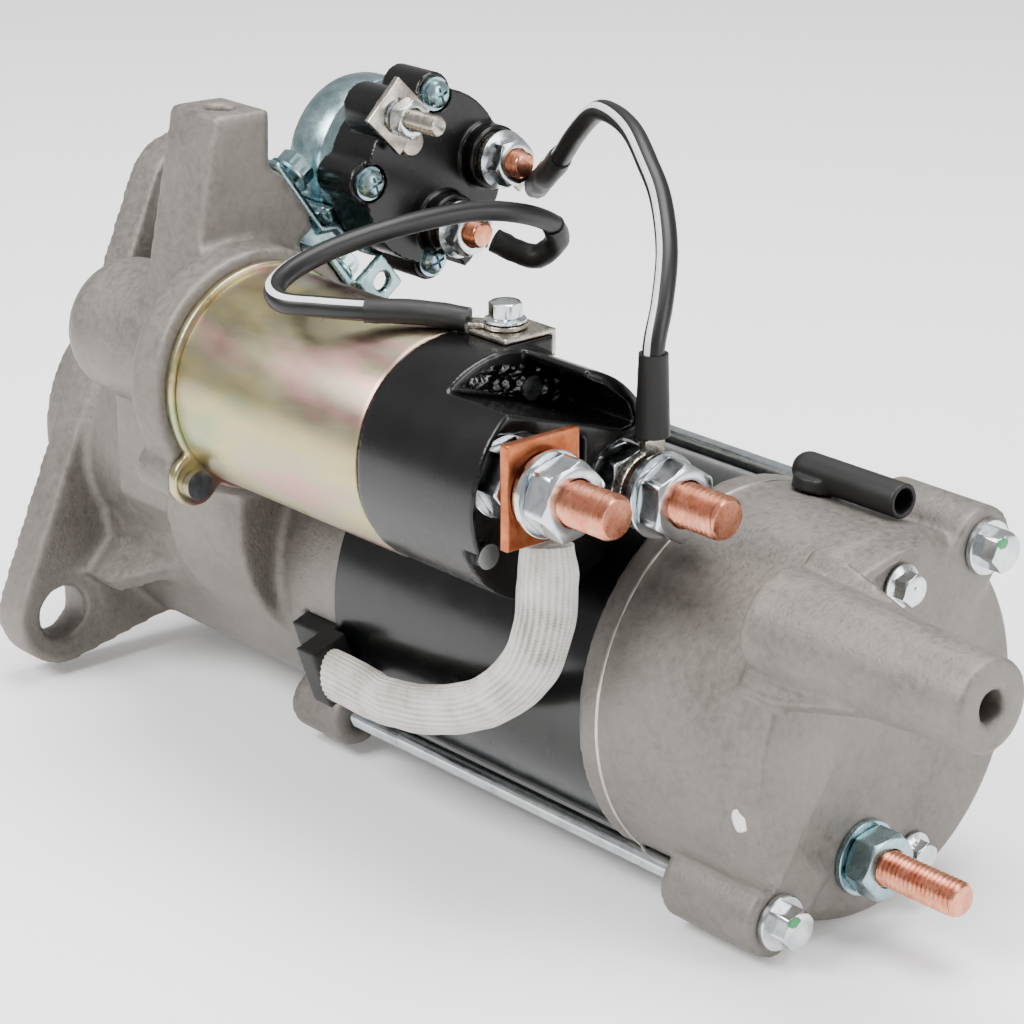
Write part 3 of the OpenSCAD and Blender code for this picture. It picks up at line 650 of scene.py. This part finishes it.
# %% Studs
stud_front, stud_rear = reach("power_studs")
power = [thread(229.6, stud_rear, 6, 1.75, axis) for axis in (motor_stud, battery_stud)]
stud_foot = [(stud_front, 0), (stud_front, 6.8), (194, 6.8), (194, 5.9), (229.8, 5.9), (229.8, 0)]
power += [spun(stud_foot, axis) for axis in (motor_stud, battery_stud)]
complete(join(power), "power_stud_threads", "copper", nodes=("power_studs",))

collar_front, relay_stud_rear = reach("relay_studs")
relay_pair = [thread(104, relay_stud_rear, 4, 1.25, axis, 0.7) for axis in relay_stud_axes]
relay_pair += [rod(collar_front, 104.2, 3.9, axis) for axis in relay_stud_axes]
complete(join(relay_pair), "relay_stud_threads", "copper", nodes=("relay_studs",))

ground = thread(284, reach("ground_stud")[1], 5, 1.5, ground_axis)
complete(ground, "ground_stud_thread", "copper", nodes=("ground_stud",))

# %% [markdown]
# ## Nuts and washers on the studs
# Each power stud has a thick inner nut on a washer against the cap, then a gap for the terminal or lug, a
# spring washer, a flat washer and an outer nut. A fitter leaves every nut at its own angle, and so do
# these. The relay nuts have a flange. The ground stud has one nut on a washer.

# %% Nuts on the studs
stack = []
for axis, inner_turn, gap_turn, outer_turn in ((motor_stud, 5, 140, 14), (battery_stud, 14, 80, 26)):
    stack.append(washer(229.7, 231.3, 11, 6.05, axis))
    stack.append(nut(231.4, 239.8, 18, 6.05, axis, inner_turn))
    stack.append(split_washer(245.8, 247.8, 10.2, 6.2, axis, gap_turn))
    stack.append(washer(248.0, 249.5, 11.5, 6.05, axis))
    stack.append(nut(249.6, 258, 19, 6.05, axis, outer_turn))
complete(join(stack), "power_stud_nuts", "bright", nodes=("power_nuts",))

relay_stack = [nut(115.6, 122.2, 13, 4.05, axis, 10, flange=8.6) for axis in relay_stud_axes]
relay_stack.append(split_washer(112.8, 114.1, 5.4, 3.1, control_axis, 100))
relay_stack.append(nut(114.3, 119, 10, 3.05, control_axis, 25))
complete(join(relay_stack), "relay_stud_nuts", "bright", nodes=("relay_nuts",))

ground_set = [washer(294.1, 295.9, 10.5, 5.05, ground_axis), nut(296, 304, 17, 5.05, ground_axis, 8)]
complete(join(ground_set), "ground_stud_nut", "blue", nodes=("ground_nut",))

# %% [markdown]
# ## Through bolts and cover screws
# Two long M6 bolts clamp the cover, yoke and housing. The shank is plain along the yoke, and the rolled
# thread shows just before it enters the housing. Their heads sit on washers. Two short screws with
# flanged heads hold the brush holder inside the cover.

# %% Long bolts and short screws
bolt_front, bolt_rear = reach("through_bolts")
long_bolts = []
for axis in bolt_axes:
    long_bolts.append(thread(bolt_front, 143, 3, 1.25, axis, 0.05, 20))
    long_bolts.append(spun([(142.5, 0), (142.5, 2.7), (143.5, 2.95), (295.5, 2.95), (295.5, 0)], axis))
    long_bolts.append(washer(295.1, 297.1, 7.6, 3.0, axis, 0.3))
    long_bolts.append(nut(297.1, bolt_rear, 10, 0, axis, 12, both=False))
complete(join(long_bolts), "through_bolt_threads", "bright", nodes=("through_bolts",))

screw_front, screw_rear = reach("cover_screws")
short_screws = []
for axis in screw_axes:
    short_screws.append(rod(screw_front, 295, 2.4, axis))
    short_screws.append(nut(294.1, screw_rear, 8, 0, axis, 20, flange=6.0))
complete(join(short_screws), "cover_flange_screws", "bright", nodes=("cover_screws",))

# %% [markdown]
# ## Paint marks
# Whoever tightens a bolt dabs it with green paint. A dab is a thin drop with an uneven rim, so a squashed
# ball swells and shrinks with noise. It lies just proud of the head.

# %% Paint marks


def dab(place, direction, size, key, name):
    """A drop of paint centred on a place in mm. Its size is thickness, width and height in mm."""
    fresh()
    bpy.ops.mesh.primitive_uv_sphere_add(segments=20, ring_count=12, radius=1)
    blob = bpy.context.object
    for point in blob.data.vertices:
        swell = 1 + 0.35 * noise.noise(point.co * 2.3 + Vector(place) * 900)
        x, y, z = point.co
        point.co = Vector((x * size[0] * mm, y * size[1] * swell * mm, z * size[2] * swell * mm))
    moved(blob, turned_up(Vector(place) * mm, direction))
    return complete(blob, name, key, angle=180)


rearward = (1, 0, 0)
for index, axis in enumerate(bolt_axes):
    mark = (bolt_rear, axis.y * 1000 - 2.0, axis.z * 1000 + 3.2)
    dab(mark, rearward, (0.18, 2.0, 1.5), "green", "bolt_mark_%d" % index)
dab((299.3, 22.0, 21.8), rearward, (0.18, 1.8, 1.6), "green", "screw_mark_0")
dab((299.3, 30.6, -56.4), rearward, (0.18, 1.6, 1.4), "green", "screw_mark_1")

# %% [markdown]
# ## Wires
# Two single-core wires run to the relay. Each is a soft round jacket with a printed white tracer line,
# bent by hand. The path is a smooth curve through the same points that the design uses, and the tracer is
# a narrow strip of the wire's own faces.

# %% Paths and tubes


def smooth_path(points, steps):
    line = []
    last = len(points) - 1
    for i in range(last):
        a, b, c, d = (Vector(points[max(0, min(last, k))]) for k in (i - 1, i, i + 1, i + 2))
        square = 2 * a - 5 * b + 4 * c - d
        cube = 3 * b - a - 3 * c + d
        for k in range(steps):
            t = k / steps
            line.append((2 * b + (c - a) * t + square * t**2 + cube * t**3) / 2)
    line.append(Vector(points[last]))
    return line


def tube(line, side, radii, around, ripple=None):
    """Wraps a tube round a line in mm. Side says which way its thickness faces, and radii gives its half
    width and half thickness at each share of the length."""
    total = len(line) - 1

    def shape(part, row):
        along = (line[min(row + 1, total)] - line[max(row - 1, 0)]).normalized()
        normal = (Vector(side) - Vector(side).dot(along) * along).normalized()
        crosswise = along.cross(normal)
        angle = 2 * math.pi * part
        wide, thick = radii(row / total)
        extra = ripple(part, row / total) if ripple else 0
        rise = (thick + extra) * math.cos(angle) * normal
        place = line[row] + rise + (wide + extra) * math.sin(angle) * crosswise
        return place * mm

    return wrapped(around, total, shape)


# %% Wires
wire_radius = 2.95
tracer_half = 0.055  # half width of the tracer, as a share of the way round
side_a = (0.42, 0.9, 0)
side_b = (0, 0, 1)
route_a = [(243, -17.5, 56), (243, -17.5, 68), (243, -17.5, 80), (240, -12, 90), (233, -4, 101),
           (222, 4, 111), (212, 8.5, 118), (200, 14, 123.5), (188, 18, 125.5), (177, 22, 123.5),
           (164, 27, 115), (151, 32.5, 104.5), (140, 37.5, 97), (130, 43.5, 92), (120.5, 50, 87.5)]
route_b = [(118.2, 36, 73), (121.5, 40.5, 70), (127, 45, 68.5), (133, 47, 74), (138, 41, 81), (140, 27, 87),
           (138, 10, 90), (136, -13, 89.5), (134, -33, 87), (135, -49, 84), (140, -60, 81.5),
           (150, -65, 80.5), (160, -60, 80.5), (170, -53, 80.5), (182, -43, 80.5), (192, -36, 79.5)]


def wire(points, side, name, node, stripe):
    piece = tube(smooth_path(points, 8), side, lambda t: (wire_radius, wire_radius), 20)
    complete(piece, name, "jacket", angle=60, nodes=(node,))
    piece.data.materials.append(finish["tracer"])
    layer = piece.data.uv_layers.active.data
    for face in piece.data.polygons:
        u = sum(layer[k].uv.x for k in face.loop_indices) / face.loop_total
        if len(face.vertices) == 4 and abs(u - stripe) < tracer_half:
            face.material_index = 1


wire(route_a, side_a, "battery_wire_jacket", "battery_wire", 0.62)
wire(route_b, side_b, "switch_wire_jacket", "switch_wire", 0.12)

# %% [markdown]
# ## Shrink sleeves
# Heat-shrink closes over each crimp. It wrinkles as it shrinks and shows the shape of the crimp below, so
# each sleeve grows a little towards its lug. The one over the battery lug is a moulded boot.

# %% Sleeves


def wrinkle(part, along, depth, shift=0):
    angle = 2 * math.pi * part
    place = Vector((math.cos(angle) * 1.3, math.sin(angle) * 1.3, (along + shift) * 5))
    return depth * (0.5 * noise.noise(place * 1.4) + 0.22 * noise.noise(place * 3.7))


def sleeve(line, side, radii, depth, shift=0):
    return tube(line, side, radii, 24, lambda part, along: wrinkle(part, along, depth, shift))


boot_line = [Vector((243, -17.5, 56.6 + 1.0 * k)) for k in range(23)]
sleeves = [
    sleeve(boot_line, rearward, lambda t: (4.6 - 0.75 * t, 4.6 - 0.75 * t), 0.12),
    sleeve(smooth_path(route_a[-4:], 8), side_a, lambda t: (3.5 + 0.5 * t, 3.3 + 0.3 * t), 0.7),
    sleeve(smooth_path(route_b[:5], 8), side_b, lambda t: (4.0 - 0.5 * t, 3.6 - 0.2 * t), 0.7, 3),
    sleeve(smooth_path(route_b[-3:], 8), side_b, lambda t: (3.5 + 0.2 * t, 3.3), 0.5, 7),
]
complete(join(sleeves), "shrunk_sleeves", "sleeve", angle=80, nodes=("wire_sleeves",))

# %% [markdown]
# ## Braided motor lead
# The lead is flat flexible cable in a glass sleeve. The sleeve gathers into lengthwise ribs, wrinkles on
# the inside of the bend and narrows where it meets the copper plate. Both ends are held by the machine.

# %% Lead
route_lead = [(244, -54, 36), (244, -54, 25), (242, -53.5, 13), (236, -53, 0), (222, -51, -13),
              (205, -48, -23), (187, -46, -30), (170, -45, -34), (158, -43.5, -35.4), (139, -42, -36)]
lead_side = (0.76, -0.65, 0)
pinched_share = 0.08


def lead_size(t):
    pinch = max(0.0, 1 - t / pinched_share)
    return 7.7 - 1.2 * pinch, 4.5 - 0.9 * pinch


def lead_ripple(part, along):
    angle = 2 * math.pi * part
    ribs = 0.17 * math.cos(lead_ribs * angle)
    folds = 0.35 * noise.noise(Vector((math.cos(angle) * 1.2, math.sin(angle) * 1.2, along * 16)))
    return ribs + folds


lead = tube(smooth_path(route_lead, 24), lead_side, lead_size, 6 * lead_ribs, lead_ripple)
complete(lead, "glass_braid_lead", "braid", angle=80, nodes=("motor_lead",))

# %% [markdown]
# ## Melted skins
# Sand casting and moulding leave no sharp edge: every corner is rounded and every joint has a fillet. The
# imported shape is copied, turned into small even cells and smoothed, which melts its edges by about one
# cell. A larger cell gives a rounder part, so a casting takes larger cells than a pressing.

# %% Skin helper


def copied(node):
    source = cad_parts[node]
    piece = source.copy()
    piece.data = source.data.copy()
    bpy.context.scene.collection.objects.link(piece)
    piece.parent = None
    piece.matrix_world = source.matrix_world.copy()
    piece.hide_render = False
    piece.hide_viewport = False
    apply_place(piece)
    bpy.ops.object.mode_set(mode="EDIT")
    bpy.ops.mesh.select_all(action="SELECT")
    bpy.ops.mesh.remove_doubles(threshold=weld_gap)
    bpy.ops.mesh.normals_make_consistent(inside=False)
    bpy.ops.object.mode_set(mode="OBJECT")
    return piece


def melted(node, name, key, cell, passes, budget, angle=50):
    piece = copied(node)
    modify(piece, "REMESH", mode="VOXEL", voxel_size=cell * mm, adaptivity=0)
    modify(piece, "SMOOTH", factor=0.5, iterations=passes)
    triangles = sum(len(face.vertices) - 2 for face in piece.data.polygons)
    if triangles > budget:
        modify(piece, "DECIMATE", ratio=budget / triangles)
    return complete(piece, name, key, angle=angle, nodes=(node,))


# %% Rear cover skin
melted("rear_cover", "rear_cover_casting", "cast", 1.15, 5, 150000, angle=60)

# %% [markdown]
# ## Bright lip
# Where the cover meets the yoke a thin bright ring runs round its edge. It is turned as a small rounded
# bead and coloured much lighter than the casting, a painted highlight.

# %% Lip
lip_outline = [(243.8, 53.4), (244.0, 54.3), (244.35, 54.5), (244.8, 54.4), (245.2, 53.9), (245.3, 53.2)]
lip = spun(lip_outline + lip_outline[:1], motor_axis, around=160)
# The bead takes the lighter finish, a painted highlight.
complete(lip, "cover_lip", "edge")

# %% Drive housing skin
melted("drive_housing", "drive_housing_casting", "cast", 1.35, 4, 180000, angle=60)

# %% [markdown]
# ## Yoke and solenoid case
# Both are rolled or drawn steel tubes. They are turned again with a fine outline, so the gloss runs
# smoothly, with a small radius on each rim.

# %% Tubes
front, rear = reach("yoke")
yoke_outline = [(front, 47.5), (front, 51.4), (131.2, 52), (236.9, 52), (rear, 52)]
yoke = spun(yoke_outline + [(rear, 47.5), (front, 47.5)], motor_axis, around=160)
complete(yoke, "yoke_tube", "enamel", nodes=("yoke",))

front, rear = reach("solenoid_case")
case_outline = [(front, 28.6), (front, 31.2), (109.5, 31.6), (187.4, 31.6), (188.5, 31.2), (rear, 30.2)]
case = spun(case_outline + [(rear, 28.6), (front, 28.6)], coil_axis, around=144)
complete(case, "solenoid_case_tube", "yellow", nodes=("solenoid_case",))

# %% [markdown]
# ## Relay can
# The relay can is deep-drawn steel. Its closed end has a large radius and a shallow bead runs near the
# cap. The outline walks over the dome to the open rim and back along the inside.

# %% Relay can
front, rear = reach("relay_case")
dome = [(front, 0), (front, 14), (65.6, 18.5), (67.2, 22), (69.6, 23.9), (72, 24.5)]
bead = [(83.4, 24.5), (84.0, 24.1), (84.6, 24.5), (89.4, 24.5), (rear, 24.1)]
can = spun(dome + bead + [(rear, 22.5), (70, 22.5), (67, 18), (67, 0)], relay_axis, around=112)
complete(can, "relay_can", "blue", nodes=("relay_case",))

# %% [markdown]
# ## Moulded caps
# Both caps are pressed in thermoset, with small even radii. The open well in the solenoid cap is sealed
# with poured resin, which stays glossy and slightly lumpy. The pool is a lumpy sheet, trimmed to the well.

# %% Solenoid cap
melted("solenoid_cap", "solenoid_cap_moulding", "bakelite", 0.62, 3, 150000)

# %% Resin pool
well = [(-56, 70.5), (-42, 65.3), (-29, 61), (-21.8, 59), (-20.5, 63), (-27.5, 69), (-36, 72.6), (-46, 74)]
well_middle = [sum(corner[i] for corner in well) / len(well) for i in (0, 1)]
pool_corner = (-57, 58.5)
pool_size = (38, 16.5)
pool_level = 212.3


def well_shape(part, row):
    y, z = well_middle if row in (0, 3) else well[round(part * len(well)) % len(well)]
    return Vector((205 if row < 2 else 220, y, z)) * mm


fresh()
bpy.ops.mesh.primitive_grid_add(x_subdivisions=60, y_subdivisions=44, size=1)
resin = bpy.context.object
for point in resin.data.vertices:
    y = pool_corner[0] + pool_size[0] * (point.co.x + 0.5)
    z = pool_corner[1] + pool_size[1] * (point.co.y + 0.5)
    broad = noise.noise(Vector((y * 0.35, z * 0.35, 1.7)))
    lump = broad + 0.5 * noise.noise(Vector((y * 0.9, z * 0.9, 4)))
    point.co = Vector((pool_level + 0.9 * lump, y, z)) * mm
modify(resin, "SOLIDIFY", thickness=1.5 * mm, offset=0)
cut(resin, wrapped(len(well), 3, well_shape), "INTERSECT")
complete(resin, "potting_resin_pool", "potting", angle=60)

# %% Relay cap
melted("relay_cap", "relay_cap_moulding", "bakelite", 0.5, 3, 120000)

# %% [markdown]
# ## Pressed and moulded small parts
# The bracket, the terminals and the lugs are stamped sheet, so their edges carry a small burr radius. The
# grommet and elbow are soft rubber with larger radii.

# %% Rounded small parts
for node, name, key, cell, passes in (
    ("relay_bracket", "relay_bracket_pressing", "blue", 0.55, 3),
    ("lead_grommet", "lead_grommet_moulding", "rubber", 0.8, 5),
    ("vent_elbow", "vent_elbow_moulding", "rubber", 0.45, 3),
    ("solenoid_plate", "solenoid_plate_pressing", "yellow", 0.6, 3),
    ("switch_terminal", "switch_terminal_plate", "nickel", 0.3, 2),
    ("motor_terminal", "motor_terminal_plate", "plate", 0.4, 2),
    ("wire_lugs", "wire_lug_pressings", "nickel", 0.3, 2),
):
    melted(node, name, key, cell, passes, 60000)

# %% [markdown]
# ## Relay screws
# The relay cap is held by pan-head screws, each on a spring washer. A punch leaves the cross recess, so
# two small blocks are cut out of each head.

# %% Relay screws


def block(low, high, place):
    fresh()
    bpy.ops.mesh.primitive_cube_add(size=1)
    piece = bpy.context.object
    low, high = Vector(low), Vector(high)
    for point in piece.data.vertices:
        point.co = Vector([(low[i] if point.co[i] < 0 else high[i]) * mm for i in range(3)])
    return moved(piece, place)


def pan_head(axis, x0, x1):
    crown = [(x0, 0), (x0, 4.0), (x0 + 1.3, 4.0), (x1 - 0.7, 3.3), (x1 - 0.15, 2.2), (x1, 0)]
    head = spun(crown, axis, around=40)
    for degrees in (20, 110):
        cut(head, block((x1 - 1.5, -0.45, -2.4), (x1 + 1, 0.45, 2.4), turned_about(axis, degrees)))
    return head


pan_front, pan_rear = reach("relay_screws")
pan_set = []
for axis in relay_screw_axes:
    pan_set.append(rod(pan_front, 107.4, 1.95, axis, around=24))
    pan_set.append(split_washer(106.0, 107.4, 4.9, 2.1, axis, 30))
    pan_set.append(pan_head(axis, 107.3, pan_rear))
complete(join(pan_set), "relay_pan_screws", "blue", nodes=("relay_screws",))

# %% [markdown]
# ## Switch screw and bracket screws
# These stand across the machine. Each is made along X from the origin and then stood on its place: the
# switch screw stands upright, one bracket screw goes into the post and one into the housing.

# %% Switch screw
origin = Vector((0, 0, 0))
screw_foot, screw_top = reach("switch_screw", axis=2)
upright = turned_up((200 * mm, -30.2 * mm, 0), (0, 0, 1))
switch_bits = [thread(screw_foot, 80, 2.5, 0.8, origin, 0.4, 20)]
switch_bits.append(nut(79.8, screw_top, 8, 0, origin, 8, flange=5.6))
complete(moved(join(switch_bits), upright), "switch_flange_screw", "bright", nodes=("switch_screw",))

# %% Bracket screws
on_post = turned_up(Vector((84, -16.5, 91.2)) * mm, (0, 0.808, 0.589))
on_housing = turned_up(Vector((99.5 * mm, coil_axis.y, coil_axis.z)), outward(36.6))
post_screw = join([rod(-12, 5, 2.9, origin), nut(4.3, 10.2, 10, 0, origin, 0, flange=6.6)])
housing_screw = join([rod(24, 40, 2.9, origin), nut(39.8, 45.1, 10, 0, origin, 10, flange=6.2)])
bracket_pair = [moved(post_screw, on_post), moved(housing_screw, on_housing)]
complete(join(bracket_pair), "bracket_flange_screws", "blue", nodes=("bracket_screws",))

# %% [markdown]
# ## Control post
# The key-switch wire goes on an M6 steel post with a square plate below its nut. The plate is stamped, so
# its corners are barely rounded. A small rivet stands beside it.

# %% Control post
rivet_axis = line_at(11.7, 104.6)
post_bits = [thread(100, reach("relay_post")[1], 3, 1.0, control_axis, 0.5, 20)]
plate = block((110.6, -8, -8), (112.6, 8, 8), turned_about(control_axis, 45))
modify(plate, "BEVEL", width=0.35 * mm, segments=2, limit_method="ANGLE")
post_bits.append(plate)
rivet = [(108.1, 0), (108.1, 4.2), (110.4, 4.2), (110.9, 3.7), (111, 0)]
post_bits.append(spun(rivet, rivet_axis, around=40))
complete(join(post_bits), "control_post_thread", "nickel", nodes=("relay_post",))

# %% [markdown]
# ## White inspection dot
# The last inspector leaves one dab of white paint on the cover skirt.

# %% White dot
dot_way = outward(190)
dot_place = Vector((0.296, motor_axis.y, motor_axis.z)) + 53.3 * mm * dot_way
dab(tuple(dot_place / mm), dot_way, (0.22, 2.6, 3.2), "white", "white_dot")
